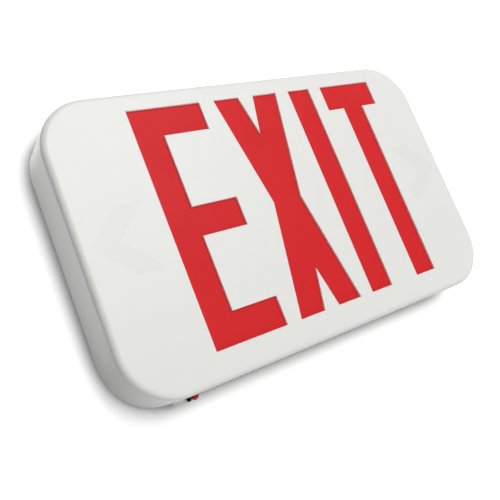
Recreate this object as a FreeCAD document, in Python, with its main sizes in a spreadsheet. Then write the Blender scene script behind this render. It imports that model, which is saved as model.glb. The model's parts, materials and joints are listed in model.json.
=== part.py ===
import FreeCAD, Part
import Sketcher
import math
import os
import re

# An emergency exit light for a wall: a stencil cover over a lit red panel, closed by a back plate that
# carries the light tray, the charger, the battery and the test switch.
# Millimetres. X is the width seen from the front, +Z is up and the wall is the plane Y = 0, so the
# face looks along -Y. Depths are measured forwards from the wall.

doc = FreeCAD.newDocument("exit_light")
sheet = doc.addObject("Spreadsheet::Sheet", "Sizes")

SIZES = {
    # front cover
    "cover_width": 298, "cover_height": 182, "cover_depth": 35, "cover_corner": 33,
    "cover_wall": 2.2, "face_wall": 1.6, "edge_round": 4,
    # legend: block letters cut through the face
    "legend_right": 8.9, "legend_up": 2.5, "letter_height": 152.4, "stroke": 19.05, "letter_gap": 11,
    "e_width": 51.5, "x_width": 51.5, "t_width": 48.5, "x_end": 19.6, "x_waist": 22.8, "x_notch": 27.4,
    # chevron knock-outs: thin webs sunk from both sides of the face
    "chevron_margin": 8, "chevron_stroke": 17.5, "chevron_slant": 20.5, "chevron_height": 42,
    "chevron_up": 1.7, "chevron_sunk": 0.2, "chevron_back_cut": 0.5,
    # snaps between cover and back plate
    "snap_width": 12, "snap_height": 2.4, "snap_reach": 0.8, "snap_level": 5, "snap_spread": 80,
    "snap_clearance": 0.3, "rib_spread": 40, "rib_thick": 1.5, "rib_tall": 1.8, "rib_gap": 0.2,
    # pry lug under the cover
    "lug_inset": 35.7, "lug_width": 6.6, "lug_reach": 2.8, "lug_depth": 4, "lug_back": 5,
    # back plate
    "plate_thick": 2.2, "plate_clearance": 0.5, "rim_height": 7.8, "rim_thick": 1.6,
    "wire_entry": 22.2, "entry_collar": 34, "collar_tall": 1.5,
    "box_spacing": 88.9, "slot_length": 14, "gang_spacing": 83.3, "box_screw_hole": 4.8,
    "stiffener": 1.6, "stiffener_tall": 3, "stiffener_run": 60, "stiffener_edge": 35,
    # self-tapping screws
    "screw_head": 5.4, "screw_head_tall": 1.8, "screw_shank": 2.8, "screw_length": 6,
    "pilot_clearance": 0.05, "pilot_depth": 5.3, "screw_hole_clearance": 0.25, "boss_wall": 1.6,
    # red panel
    "panel_thick": 1.5, "panel_fit": 0.2,
    # light tray, set in from the cover's inner faces
    "tray_side_gap": 3, "tray_top_gap": 3.3, "tray_low_gap": 8.3, "tray_corner_gap": 4.8,
    "tray_wall": 1.2, "tray_gap": 0.3, "post_inset": 21.8, "post_inset_up": 25, "post_wall": 2.4,
    # strips of lamps
    "strip_end_gap": 33.8, "strip_width": 6, "strip_thick": 1.2, "strip_fit": 0.15,
    "strip_front_gap": 1.4, "strip_back_gap": 1.8, "rail_thick": 1, "rail_tall": 1.9, "rail_end_gap": 10,
    "lamp_count": 10, "lamp_end_gap": 11, "lamp_length": 3.5, "lamp_width": 2.8, "lamp_tall": 1.9,
    # charger board
    "board_side": 25, "board_width": 70, "board_height": 62, "board_drop": 1, "board_thick": 1.6,
    "board_lift": 4, "board_inset": 4.5,
    # parts on the charger board, placed from its lower left corner
    "core_width": 16, "core_tall": 9, "core_thick": 5, "core_leg": 4, "core_yoke": 2, "coil_fit": 0.2,
    "coil_depth": 12, "core_in": 16, "core_over": 33,
    "film_length": 18, "film_width": 8, "film_tall": 8.8, "film_in": 16, "film_over": 49,
    "can_size": 8, "can_tall": 9, "can_in": 35, "can_over": 44, "can_pitch": 11,
    "bridge_length": 8.5, "bridge_width": 6.4, "bridge_tall": 3.2, "bridge_in": 34, "bridge_over": 30,
    "regulator_width": 10, "regulator_tall": 4.4, "regulator_length": 9, "regulator_tab": 6,
    "tab_thick": 1.3, "regulator_in": 53, "regulator_over": 27,
    "fuse_length": 8.5, "fuse_width": 4, "fuse_tall": 7.8, "fuse_in": 48, "fuse_over": 15,
    "terminal_width": 15.2, "terminal_deep": 8, "terminal_tall": 8.2, "terminal_pitch": 5.08,
    "terminal_in": 66, "terminal_over": 16.5, "port_width": 3, "port_deep": 5, "port_up": 3,
    "lever_width": 3.6, "lever_length": 5, "lever_tall": 0.8,
    # plugs and sockets on the board's upper and lower edges
    "socket_tall": 5.4, "socket_deep": 6, "socket_wall": 0.8, "plug_fit": 0.1, "plug_long": 7,
    "pole_pitch": 2.5, "pole_margin": 2.6, "test_poles": 4, "lead_poles": 2,
    "battery_plug_in": 56, "upper_plug_in": 20, "lower_plug_in": 36,
    # battery
    "cell_size": 10.5, "cell_length": 44.5, "cell_count": 3, "battery_right": 58,
    "battery_up": 0.5, "battery_gap": 0.3, "cradle_wall": 1.6, "cradle_tall": 6, "cradle_arm": 9,
    "clip_width": 10, "clip_thick": 1.3, "clip_reach": 8, "clip_gap": 0.1,
    # test board, switch, button and indicator under the cover's lower wall
    "button_inset": 37.3, "button_depth": 19, "button_size": 2.8, "button_proud": 2.5,
    "button_travel": 1.2, "button_clearance": 0.3, "button_chamfer": 0.4, "stem_size": 1.8,
    "stem_fit": 0.1, "stem_in": 2, "switch_width": 3.6, "switch_deep": 6.2, "switch_tall": 4.6,
    "led_right": 4.8, "led_step": 2, "led_size": 5, "led_flange": 5.6, "led_flange_tall": 1,
    "led_length": 8.6, "led_proud": 3.1, "led_fit": 0.15, "leg_size": 0.5, "leg_pitch": 2.54,
    "test_board_length": 26, "test_board_back": 9, "test_board_front": 25, "test_board_lift": 6,
    "test_screw_inset": 3, "test_screw_depth": 13.4,
    # flat twin leads
    "lead_thick": 1.6, "lead_wide": 3.2, "lead_bend": 5, "lead_rest": 0.05, "battery_lead_over": 18,
    "lead_solder": 4, "lead_slot_clearance": 0.4,
}

for row, (name, size) in enumerate(SIZES.items(), 1):
    sheet.set(f"A{row}", name)
    sheet.set(f"B{row}", str(size))
    sheet.setAlias(f"B{row}", name)
doc.recompute()


def formula(text):
    """Point each size name in a formula at its cell."""
    return re.sub(r"[a-z][a-z_]+", lambda word: f"Sizes.{word[0]}" if word[0] in SIZES else word[0], text)


def value(text):
    """Work a formula out as a plain number."""
    return float(sheet.evalExpression(formula(text)))


def bind(feature, **formulas):
    for prop, text in formulas.items():
        feature.setExpression(prop, formula(text))


def place(piece, x="0", depth="0", z="0"):
    """Put a piece at a width, a depth forwards from the wall and a height."""
    for axis, text in (("x", x), ("y", f"-({depth})"), ("z", z)):
        piece.setExpression(f"Placement.Base.{axis}", formula(text))


# ---- sketches ---------------------------------------------------------------------------------------

def new_body(name):
    body = doc.addObject("PartDesign::Body", name)
    doc.recompute()
    return body


def sketch_on(body, plane, name, level="0", across="0", up="0"):
    """Attach a sketch to one of the body's own planes. Level is measured along the plane's normal:
    forwards on XZ, upwards on XY and to the right on YZ."""
    sketch = body.newObject("Sketcher::SketchObject", name)
    origin = [item for item in body.Origin.OriginFeatures if item.Role == f"{plane}_Plane"][0]
    sketch.AttachmentSupport = [(origin, "")]
    sketch.MapMode = "FlatFace"
    for axis, text in (("x", across), ("y", up), ("z", level)):
        sketch.setExpression(f"AttachmentOffset.Base.{axis}", formula(text))
    return sketch


def constrain(sketch, rules, ties):
    """Add plain rules, then dimensions that follow the spreadsheet."""
    sketch.addConstraint([Sketcher.Constraint(*rule) for rule in rules])
    for *rule, text in ties:
        number = sketch.addConstraint(Sketcher.Constraint(*rule, value(text)))
        sketch.setExpression(f"Constraints[{number}]", formula(text))


def outline(sketch, corners):
    """Close straight lines round a list of corners and tie each corner to the sheet."""
    first = sketch.GeometryCount
    count = len(corners)
    spots = [FreeCAD.Vector(value(across), value(up), 0) for across, up in corners]
    sketch.addGeometry([Part.LineSegment(spots[i], spots[(i + 1) % count]) for i in range(count)], False)
    rules = [("Coincident", first + (i - 1) % count, 2, first + i, 1) for i in range(count)]
    ties = []
    for i, (across, up) in enumerate(corners):
        ties.append(("DistanceX", -1, 1, first + i, 1, across))
        ties.append(("DistanceY", -1, 1, first + i, 1, up))
    constrain(sketch, rules, ties)


def rectangle(sketch, left, low, right, high):
    outline(sketch, [(left, low), (right, low), (right, high), (left, high)])


def rounded(sketch, half_width, half_height, corner, across="0", up="0"):
    """A rectangle with round corners about a centre: four sides joined by four tangent arcs."""
    first = sketch.GeometryCount
    wide, tall, radius = value(half_width), value(half_height), value(corner)
    x, y = value(across), value(up)
    turns = [(1, 1, 0), (-1, 1, 90), (-1, -1, 180), (1, -1, 270)]
    arcs = []
    for side, rise, start in turns:
        centre = FreeCAD.Vector(x + side * (wide - radius), y + rise * (tall - radius), 0)
        ring = Part.Circle(centre, FreeCAD.Vector(0, 0, 1), radius)
        arcs.append(Part.ArcOfCircle(ring, math.radians(start), math.radians(start + 90)))
    sides = [Part.LineSegment(arcs[i].EndPoint, arcs[(i + 1) % 4].StartPoint) for i in range(4)]
    sketch.addGeometry(arcs + sides, False)
    rules = []
    for i in range(4):
        side = first + 4 + i
        rules.append(("Tangent", first + i, 2, side, 1))
        rules.append(("Tangent", side, 2, first + (i + 1) % 4, 1))
        rules.append(("Horizontal" if i % 2 == 0 else "Vertical", side))
        if i:
            rules.append(("Equal", first, first + i))
    right, high = f"({across}) + ({half_width})", f"({up}) + ({half_height})"
    left, low = f"({across}) - ({half_width})", f"({up}) - ({half_height})"
    ties = [
        ("Radius", first, corner),
        ("DistanceY", -1, 1, first + 4, 1, high),
        ("DistanceX", -1, 1, first + 5, 1, left),
        ("DistanceY", -1, 1, first + 6, 1, low),
        ("DistanceX", -1, 1, first + 7, 1, right),
    ]
    constrain(sketch, rules, ties)


def circle(sketch, size, across="0", up="0"):
    """A circle of a given diameter."""
    first = sketch.GeometryCount
    centre = FreeCAD.Vector(value(across), value(up), 0)
    sketch.addGeometry(Part.Circle(centre, FreeCAD.Vector(0, 0, 1), value(size) / 2), False)
    ties = [
        ("Diameter", first, size),
        ("DistanceX", -1, 1, first, 3, across),
        ("DistanceY", -1, 1, first, 3, up),
    ]
    constrain(sketch, [], ties)


def slot(sketch, length, width, across="0", up="0"):
    """A round-ended slot that runs along the sketch's first axis: two half circles and two sides."""
    first = sketch.GeometryCount
    reach, radius = value(f"(({length}) - ({width})) / 2"), value(width) / 2
    x, y = value(across), value(up)
    ends = []
    for side, start in ((1, -90), (-1, 90)):
        ring = Part.Circle(FreeCAD.Vector(x + side * reach, y, 0), FreeCAD.Vector(0, 0, 1), radius)
        ends.append(Part.ArcOfCircle(ring, math.radians(start), math.radians(start + 180)))
    sides = [Part.LineSegment(ends[i].EndPoint, ends[1 - i].StartPoint) for i in range(2)]
    sketch.addGeometry(ends + sides, False)
    rules = [("Equal", first, first + 1)]
    for i in range(2):
        rules.append(("Tangent", first + i, 2, first + 2 + i, 1))
        rules.append(("Tangent", first + 2 + i, 2, first + 1 - i, 1))
    ties = [("Radius", first, f"({width}) / 2"), ("DistanceY", -1, 1, first, 3, up)]
    for i, side in enumerate("+-"):
        ties.append(("DistanceX", -1, 1, first + i, 3, f"({across}) {side} (({length}) - ({width})) / 2"))
    constrain(sketch, rules + [("Horizontal", first + 2)], ties)


# ---- features ---------------------------------------------------------------------------------------

def sweep_straight(kind, body, sketch, length, reverse, both):
    feature = body.newObject(f"PartDesign::{kind}", f"{sketch.Name}_{kind.lower()}")
    feature.Profile = sketch
    feature.Reversed = reverse
    if both:
        feature.SideType = "Symmetric"
    if length is None:
        feature.Type = "ThroughAll"
    else:
        bind(feature, Length=length)
    sketch.Visibility = False
    doc.recompute()
    return feature


def pad(body, sketch, length, reverse=False, both=False):
    """Add material along the sketch's normal, against it, or both ways."""
    return sweep_straight("Pad", body, sketch, length, reverse, both)


def cut(body, sketch, length=None, along=False, both=False):
    """Cut against the sketch's normal, along it, or both ways. No length cuts through everything."""
    before = body.Shape.Volume
    feature = sweep_straight("Pocket", body, sketch, length, along, both)
    if body.Shape.Volume > before - 1e-6:
        raise RuntimeError(f"{feature.Name} cuts nothing")
    return feature


def spin(body, sketch):
    """Turn a profile about the sketch's own upright axis."""
    feature = body.newObject("PartDesign::Revolution", f"{sketch.Name}_turned")
    feature.Profile = sketch
    feature.ReferenceAxis = (sketch, ["V_Axis"])
    feature.Angle = 360
    doc.recompute()
    return feature


def edges(feature, wanted):
    found = [f"Edge{n}" for n, edge in enumerate(feature.Shape.Edges, 1) if wanted(edge)]
    if not found:
        raise RuntimeError(f"no edge of {feature.Name} is where its round belongs")
    return found


def round_edges(body, feature, radius, wanted):
    dressed = body.newObject("PartDesign::Fillet", f"{feature.Name}_fillet")
    dressed.Base = (feature, edges(feature, wanted))
    bind(dressed, Radius=radius)
    doc.recompute()
    return dressed


def lies_at(axis, text):
    """True for an edge that lies wholly in one plane square to an axis."""
    level = value(text)

    def test(edge):
        return all(abs(getattr(p.Point, axis) - level) < 1e-4 for p in edge.Vertexes)
    return test


# ---- front cover ------------------------------------------------------------------------------------
# One white moulding: stencil face, side walls with a soft front edge, chevron knock-outs and,
# inside, the ribs and pockets that take the red panel and the back plate, and two screw bosses.

HALF_WIDTH = "cover_width / 2"
HALF_HEIGHT = "cover_height / 2"
FACE_BACK = "(cover_depth - face_wall)"
PANEL_BACK = "(cover_depth - face_wall - panel_thick)"
PLATE_REACH = "(plate_thick + rim_height)"
INNER_FLOOR = "(-cover_height / 2 + cover_wall)"

cover = new_body("front_cover")
cover_back = sketch_on(cover, "XZ", "cover_back")
rounded(cover_back, HALF_WIDTH, HALF_HEIGHT, "cover_corner")
block = pad(cover, cover_back, "cover_depth")
round_edges(cover, block, "edge_round", lies_at("y", "-cover_depth"))

cavity = sketch_on(cover, "XZ", "cavity")
rounded(cavity, f"{HALF_WIDTH} - cover_wall", f"{HALF_HEIGHT} - cover_wall", "cover_corner - cover_wall")
cut(cover, cavity, FACE_BACK, along=True)

# Legend. Each letter is a list of corners from its left edge.
LEGEND_WIDTH = "(e_width + x_width + t_width + stroke + 3 * letter_gap)"
TOP = "(legend_up + letter_height / 2)"
BASE = "(legend_up - letter_height / 2)"


def letter_e(left):
    right, spine = f"{left} + e_width", f"{left} + stroke"
    return [
        (left, TOP), (right, TOP), (right, f"{TOP} - stroke"), (spine, f"{TOP} - stroke"),
        (spine, "legend_up + stroke / 2"), (right, "legend_up + stroke / 2"),
        (right, "legend_up - stroke / 2"), (spine, "legend_up - stroke / 2"),
        (spine, f"{BASE} + stroke"), (right, f"{BASE} + stroke"), (right, BASE), (left, BASE),
    ]


def letter_x(left):
    right, middle = f"{left} + x_width", f"{left} + x_width / 2"
    return [
        (left, TOP), (f"{left} + x_end", TOP), (middle, f"{TOP} - x_notch"), (f"{right} - x_end", TOP),
        (right, TOP), (f"{middle} + x_waist / 2", "legend_up"), (right, BASE), (f"{right} - x_end", BASE),
        (middle, f"{BASE} + x_notch"), (f"{left} + x_end", BASE), (left, BASE),
        (f"{middle} - x_waist / 2", "legend_up"),
    ]


def letter_i(left):
    right = f"{left} + stroke"
    return [(left, TOP), (right, TOP), (right, BASE), (left, BASE)]


def letter_t(left):
    right, middle = f"{left} + t_width", f"{left} + t_width / 2"
    return [
        (left, TOP), (right, TOP), (right, f"{TOP} - stroke"), (f"{middle} + stroke / 2", f"{TOP} - stroke"),
        (f"{middle} + stroke / 2", BASE), (f"{middle} - stroke / 2", BASE),
        (f"{middle} - stroke / 2", f"{TOP} - stroke"), (left, f"{TOP} - stroke"),
    ]


legend = sketch_on(cover, "XZ", "legend", level="cover_depth")
letter_left = f"legend_right - {LEGEND_WIDTH} / 2"
for letter, letter_width in ((letter_e, "e_width"), (letter_x, "x_width"), (letter_i, "stroke"),
                             (letter_t, "t_width")):
    outline(legend, letter(letter_left))
    letter_left = f"{letter_left} + {letter_width} + letter_gap"
cut(cover, legend)


def chevrons(sketch):
    """An arrowhead that points away from the legend, and its mirror image."""
    high, low = "chevron_up + chevron_height / 2", "chevron_up - chevron_height / 2"
    foot = f"({HALF_WIDTH} - chevron_margin - chevron_slant - chevron_stroke)"
    shoulder = f"({HALF_WIDTH} - chevron_margin - chevron_slant)"
    arrow = [
        (foot, high), (shoulder, high), (f"{shoulder} + chevron_slant", "chevron_up"),
        (shoulder, low), (foot, low), (f"{foot} + chevron_slant", "chevron_up"),
    ]
    outline(sketch, arrow)
    outline(sketch, [(f"-({across})", up) for across, up in arrow])


front_chevrons = sketch_on(cover, "XZ", "front_chevrons", level="cover_depth")
chevrons(front_chevrons)
cut(cover, front_chevrons, "chevron_sunk")
back_chevrons = sketch_on(cover, "XZ", "back_chevrons", level=FACE_BACK)
chevrons(back_chevrons)
cut(cover, back_chevrons, "chevron_back_cut", along=True)

# Short ribs on the walls stop the back plate flush with the cover's open edge and centre the red panel.
stops = sketch_on(cover, "XZ", "stops", level=f"{PLATE_REACH} + rib_gap")
WALL_ROOT = "cover_wall / 2"
for side in ("", "-"):
    across = f"{side}rib_spread"
    for foot, tip in ((f"{HALF_HEIGHT} - {WALL_ROOT}", f"{HALF_HEIGHT} - cover_wall - rib_tall"),
                      (f"-({HALF_HEIGHT} - {WALL_ROOT})", f"-({HALF_HEIGHT} - cover_wall - rib_tall)")):
        rectangle(stops, f"{across} - rib_thick / 2", foot, f"{across} + rib_thick / 2", tip)
        foot_x, tip_x = foot.replace("height", "width"), tip.replace("height", "width")
        rectangle(stops, foot_x, f"{across} - rib_thick / 2", tip_x, f"{across} + rib_thick / 2")
pad(cover, stops, f"{FACE_BACK} - {PLATE_REACH} - rib_gap + face_wall / 4")

# Blind pockets in the four walls catch the barbs of the back plate.
POCKET_FAR = "-(snap_level + snap_height / 2 + snap_clearance)"
POCKET_NEAR = "-(snap_level - snap_height / 2 - snap_clearance)"
side_pockets = sketch_on(cover, "YZ", "side_pockets")
HALF_POCKET = "(snap_width / 2 + snap_clearance)"
rectangle(side_pockets, POCKET_FAR, f"-{HALF_POCKET}", POCKET_NEAR, HALF_POCKET)
cut(cover, side_pockets, "cover_width - 2 * (cover_wall - snap_reach - snap_clearance)", both=True)
end_pockets = sketch_on(cover, "XY", "end_pockets")
for side in ("", "-"):
    rectangle(end_pockets, f"{side}snap_spread - {HALF_POCKET}", POCKET_FAR,
              f"{side}snap_spread + {HALF_POCKET}", POCKET_NEAR)
cut(cover, end_pockets, "cover_height - 2 * (cover_wall - snap_reach - snap_clearance)", both=True)

# Two square bosses on the lower wall carry the test board.
# The button and the indicator pass through the wall beside them.
BUTTON_X = "(button_inset - cover_width / 2)"
TEST_MIDDLE = f"({BUTTON_X} + led_right / 2)"
TEST_FLOOR = f"({INNER_FLOOR} + test_board_lift)"
TEST_SCREWS = [
    (f"{TEST_MIDDLE} {side} (test_board_length / 2 - test_screw_inset)", "-test_screw_depth")
    for side in ("-", "+")
]
LED_X = f"({BUTTON_X} + led_right)"
LED_DEPTH = "(button_depth - led_step)"
PILOT = "(screw_shank + 2 * pilot_clearance)"
SCREW_HOLE = "(screw_shank + 2 * screw_hole_clearance)"
BOSS = f"({PILOT} + boss_wall)"
test_bosses = sketch_on(cover, "XY", "test_bosses", level=TEST_FLOOR)
test_pilots = sketch_on(cover, "XY", "test_pilots", level=TEST_FLOOR)
for across, depth in TEST_SCREWS:
    rectangle(test_bosses, f"{across} - {BOSS} / 2", f"{depth} - {BOSS} / 2",
              f"{across} + {BOSS} / 2", f"{depth} + {BOSS} / 2")
    circle(test_pilots, PILOT, across, depth)
pad(cover, test_bosses, "test_board_lift + cover_wall / 4", reverse=True)
cut(cover, test_pilots, "pilot_depth")
BUTTON_HOLE = "(button_size + 2 * button_clearance)"
LED_HOLE = "(led_size + 2 * led_fit)"
test_holes = sketch_on(cover, "XY", "test_holes", level=INNER_FLOOR)
circle(test_holes, BUTTON_HOLE, BUTTON_X, "-button_depth")
circle(test_holes, LED_HOLE, LED_X, f"-{LED_DEPTH}")
cut(cover, test_holes)

# A small round-ended lug under the cover, beside the button, to pry the cover off by.
lug = sketch_on(cover, "XZ", "lug", level="lug_back")
LUG_X = "(lug_inset - cover_width / 2)"
LUG_ROOT = f"({HALF_HEIGHT} - cover_wall / 2)"
LUG_SPRING = f"({HALF_HEIGHT} + lug_reach - lug_width / 2)"
lug_x, lug_half = value(LUG_X), value("lug_width / 2")
lug_low, lug_high = -value(LUG_SPRING), -value(LUG_ROOT)
tip = Part.ArcOfCircle(
    Part.Circle(FreeCAD.Vector(lug_x, lug_low, 0), FreeCAD.Vector(0, 0, 1), lug_half), math.pi, 2 * math.pi)
corners = [FreeCAD.Vector(lug_x + side * lug_half, high, 0)
           for side, high in ((1, lug_low), (1, lug_high), (-1, lug_high), (-1, lug_low))]
lug.addGeometry([tip] + [Part.LineSegment(corners[i], corners[i + 1]) for i in range(3)], False)
constrain(lug, [
    ("Tangent", 0, 2, 1, 1), ("Coincident", 1, 2, 2, 1), ("Coincident", 2, 2, 3, 1),
    ("Tangent", 3, 2, 0, 1), ("Horizontal", 2), ("Vertical", 1), ("Vertical", 3),
], [
    ("DistanceX", -1, 1, 0, 3, LUG_X), ("DistanceY", -1, 1, 0, 3, f"-{LUG_SPRING}"),
    ("Radius", 0, "lug_width / 2"), ("DistanceY", -1, 1, 1, 2, f"-{LUG_ROOT}"),
])
pad(cover, lug, "lug_depth")


# ---- back plate -------------------------------------------------------------------------------------
# A flat moulding against the wall, with an upstanding rim that snaps into the cover, posts and bosses
# for everything inside, a cradle for the battery and holes for a junction box.

HALF_PLATE_WIDTH = f"({HALF_WIDTH} - cover_wall - plate_clearance)"
HALF_PLATE_HEIGHT = f"({HALF_HEIGHT} - cover_wall - plate_clearance)"
PLATE_CORNER = "(cover_corner - cover_wall - plate_clearance)"

plate = new_body("back_plate")
plate_outline = sketch_on(plate, "XZ", "plate_outline")
rounded(plate_outline, HALF_PLATE_WIDTH, HALF_PLATE_HEIGHT, PLATE_CORNER)
pad(plate, plate_outline, "plate_thick")

rim = sketch_on(plate, "XZ", "rim", level="plate_thick")
rounded(rim, HALF_PLATE_WIDTH, HALF_PLATE_HEIGHT, PLATE_CORNER)
rounded(rim, f"{HALF_PLATE_WIDTH} - rim_thick", f"{HALF_PLATE_HEIGHT} - rim_thick",
        f"{PLATE_CORNER} - rim_thick")
pad(plate, rim, "rim_height")

# Barbs: the steep side faces the wall, the ramp faces the cover that is pushed over it.
BARB_TIP = "(plate_clearance + snap_reach)"


def barb(sketch, half, across_first):
    """A barb's section on both sides of the rim: out from the rim, then back along the ramp."""
    for side in ("", "-"):
        root, tip = f"{side}({half} - rim_thick / 2)", f"{side}({half} + {BARB_TIP})"
        crest = f"{side}({half})"
        near, far = "-(snap_level - snap_height / 2)", "-(snap_level + snap_height / 2)"
        corners = [(root, near), (tip, near), (tip, "-snap_level"), (crest, far), (root, far)]
        outline(sketch, corners if across_first else [(depth, across) for across, depth in corners])


side_barbs = sketch_on(plate, "XY", "side_barbs")
barb(side_barbs, HALF_PLATE_WIDTH, True)
pad(plate, side_barbs, "snap_width", both=True)
end_barbs = sketch_on(plate, "YZ", "end_barbs", level="snap_spread")
barb(end_barbs, HALF_PLATE_HEIGHT, False)
end_barb_pad = pad(plate, end_barbs, "snap_width", both=True)
mirror = plate.newObject("PartDesign::Mirrored", "far_barbs")
mirror.Originals = [end_barb_pad]
middle_plane = [item for item in plate.Origin.OriginFeatures if item.Role == "YZ_Plane"][0]
mirror.MirrorPlane = (middle_plane, [""])
plate.Tip = mirror
doc.recompute()

# Places that the plate, the boards and the screws share.
BOARD_BACK = "(plate_thick + board_lift)"
BOARD_FRONT = "(plate_thick + board_lift + board_thick)"
BOARD_LOW = "(-board_drop - board_height / 2)"
BOARD_HIGH = "(-board_drop + board_height / 2)"
BOARD_LEFT = "(board_side - cover_width / 2)"
BOARD_RIGHT = f"({BOARD_LEFT} + board_width)"
BOARD_SCREWS = [
    (f"{BOARD_LEFT} + board_inset", f"{BOARD_HIGH} - board_inset"),
    (f"{BOARD_RIGHT} - board_inset", f"{BOARD_LOW} + board_inset"),
]
BOARD_RESTS = [
    (f"{BOARD_LEFT} + board_inset", f"{BOARD_LOW} + board_inset"),
    (f"{BOARD_RIGHT} - board_inset", f"{BOARD_HIGH} - board_inset"),
]
TRAY_HALF_WIDTH = f"({HALF_WIDTH} - cover_wall - tray_side_gap)"
TRAY_HIGH = f"({HALF_HEIGHT} - cover_wall - tray_top_gap)"
TRAY_LOW = f"({INNER_FLOOR} + tray_low_gap)"
TRAY_FRONT = f"({PANEL_BACK} - tray_gap)"
STRIP_FRONT = f"({TRAY_FRONT} - strip_front_gap)"
STRIP_BACK = f"({STRIP_FRONT} - strip_width)"
TRAY_FLOOR = f"({STRIP_BACK} - strip_back_gap)"
TRAY_BACK = f"({TRAY_FLOOR} - tray_wall)"
POST_X = f"({TRAY_HALF_WIDTH} - post_inset)"
TRAY_SCREWS = [(f"-{POST_X}", f"{TRAY_LOW} + post_inset_up"), (POST_X, f"{TRAY_HIGH} - post_inset_up")]
TRAY_RESTS = [(f"-{POST_X}", f"{TRAY_HIGH} - post_inset_up"), (POST_X, f"{TRAY_LOW} + post_inset_up")]
PACK_WIDTH = "(cell_count * cell_size)"
PACK_MIDDLE = "(battery_right + cell_count * cell_size / 2)"
PACK_FRONT = "(plate_thick + cell_size)"


def studs(name, size, screws, tall, rests=()):
    """Square posts standing forwards from the plate, with a pilot hole where a screw goes."""
    posts = sketch_on(plate, "XZ", f"{name}_posts", level="plate_thick")
    pilots = sketch_on(plate, "XZ", f"{name}_pilots", level=f"plate_thick + {tall}")
    for across, up in [*screws, *rests]:
        rectangle(posts, f"{across} - {size} / 2", f"{up} - {size} / 2",
                  f"{across} + {size} / 2", f"{up} + {size} / 2")
    for across, up in screws:
        circle(pilots, PILOT, across, up)
    pad(plate, posts, tall)
    cut(plate, pilots, "pilot_depth")


studs("tray", f"({PILOT} + 2 * post_wall)", TRAY_SCREWS, f"({TRAY_BACK} - plate_thick)", TRAY_RESTS)
studs("board", f"({PILOT} + 2 * boss_wall)", BOARD_SCREWS, "board_lift", BOARD_RESTS)

# Battery cradle: an angle at each corner of the pack and a springy clip over each long side.
cradle = sketch_on(plate, "XZ", "cradle", level="plate_thick")
for side in ("-", "+"):
    for rise in ("-", "+"):
        inner_x = f"({PACK_MIDDLE} {side} ({PACK_WIDTH} / 2 + battery_gap))"
        inner_z = f"(battery_up {rise} (cell_length / 2 + battery_gap))"
        outer_x, outer_z = f"{inner_x} {side} cradle_wall", f"{inner_z} {rise} cradle_wall"
        back = "+" if side == "-" else "-"
        down = "+" if rise == "-" else "-"
        outline(cradle, [
            (outer_x, outer_z), (f"{inner_x} {back} cradle_arm", outer_z),
            (f"{inner_x} {back} cradle_arm", inner_z), (inner_x, inner_z),
            (inner_x, f"{inner_z} {down} cradle_arm"), (outer_x, f"{inner_z} {down} cradle_arm"),
        ])
pad(plate, cradle, "cradle_tall")
clips = sketch_on(plate, "XY", "battery_clips", level="battery_up")
for side in ("-", "+"):
    back = "+" if side == "-" else "-"
    inner = f"({PACK_MIDDLE} {side} ({PACK_WIDTH} / 2 + battery_gap))"
    outer = f"{inner} {side} clip_thick"
    hook = f"{PACK_MIDDLE} {side} ({PACK_WIDTH} / 2 - clip_reach)"
    under, over = f"({PACK_FRONT} + clip_gap)", f"({PACK_FRONT} + clip_gap + clip_thick)"
    outline(clips, [
        (outer, "-plate_thick / 2"), (outer, f"-{over}"), (hook, f"-{over}"), (hook, f"-{under}"),
        (inner, f"-{under}"), (inner, "-plate_thick / 2"),
    ])
pad(plate, clips, "clip_width", both=True)

# Stiffening ribs above and below, and a collar round the wire entry.
ribs = sketch_on(plate, "XZ", "ribs", level="plate_thick")
for side in ("", "-"):
    up = f"{side}({HALF_HEIGHT} - stiffener_edge)"
    rectangle(ribs, "-stiffener_run", f"{up} - stiffener / 2", "stiffener_run", f"{up} + stiffener / 2")
pad(plate, ribs, "stiffener_tall")
collar = sketch_on(plate, "XZ", "collar", level="plate_thick")
circle(collar, "entry_collar")
pad(plate, collar, "collar_tall")

# Wire entry, and the slots and holes that suit the screws of a junction box.
entry = sketch_on(plate, "XZ", "entry")
circle(entry, "wire_entry")
cut(plate, entry, along=True)
fixings = sketch_on(plate, "XZ", "fixings")
for side in ("", "-"):
    slot(fixings, "slot_length", "box_screw_hole", f"{side}box_spacing / 2")
    circle(fixings, "box_screw_hole", "0", f"{side}gang_spacing / 2")
cut(plate, fixings, along=True)


# ---- red panel --------------------------------------------------------------------------------------
# A sheet of translucent red plastic behind the stencil, centred by the cover's ribs and kept against the
# face by the edge of the light tray.

PANEL_INSET = "(cover_wall + rib_tall + panel_fit)"
panel = new_body("red_panel")
panel_outline = sketch_on(panel, "XZ", "panel_outline", level=PANEL_BACK)
rounded(panel_outline, f"{HALF_WIDTH} - {PANEL_INSET}", f"{HALF_HEIGHT} - {PANEL_INSET}",
        f"cover_corner - {PANEL_INSET}")
pad(panel, panel_outline, "panel_thick")


# ---- light tray -------------------------------------------------------------------------------------
# A shallow white tray, open to the front, that throws the lamps' light back through the red panel.
# Rails along its upper and lower walls hold the two strips.

TRAY_INNER_UP = f"({TRAY_HIGH} - tray_wall)"
TRAY_INNER_LOW = f"({TRAY_LOW} + tray_wall)"
TRAY_HALF_HEIGHT = f"(({TRAY_HIGH} - {TRAY_LOW}) / 2)"
TRAY_MIDDLE = f"(({TRAY_HIGH} + {TRAY_LOW}) / 2)"
TRAY_CORNER = "(cover_corner - cover_wall - tray_corner_gap)"
STRIP_HALF = f"({TRAY_HALF_WIDTH} - strip_end_gap)"

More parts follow.
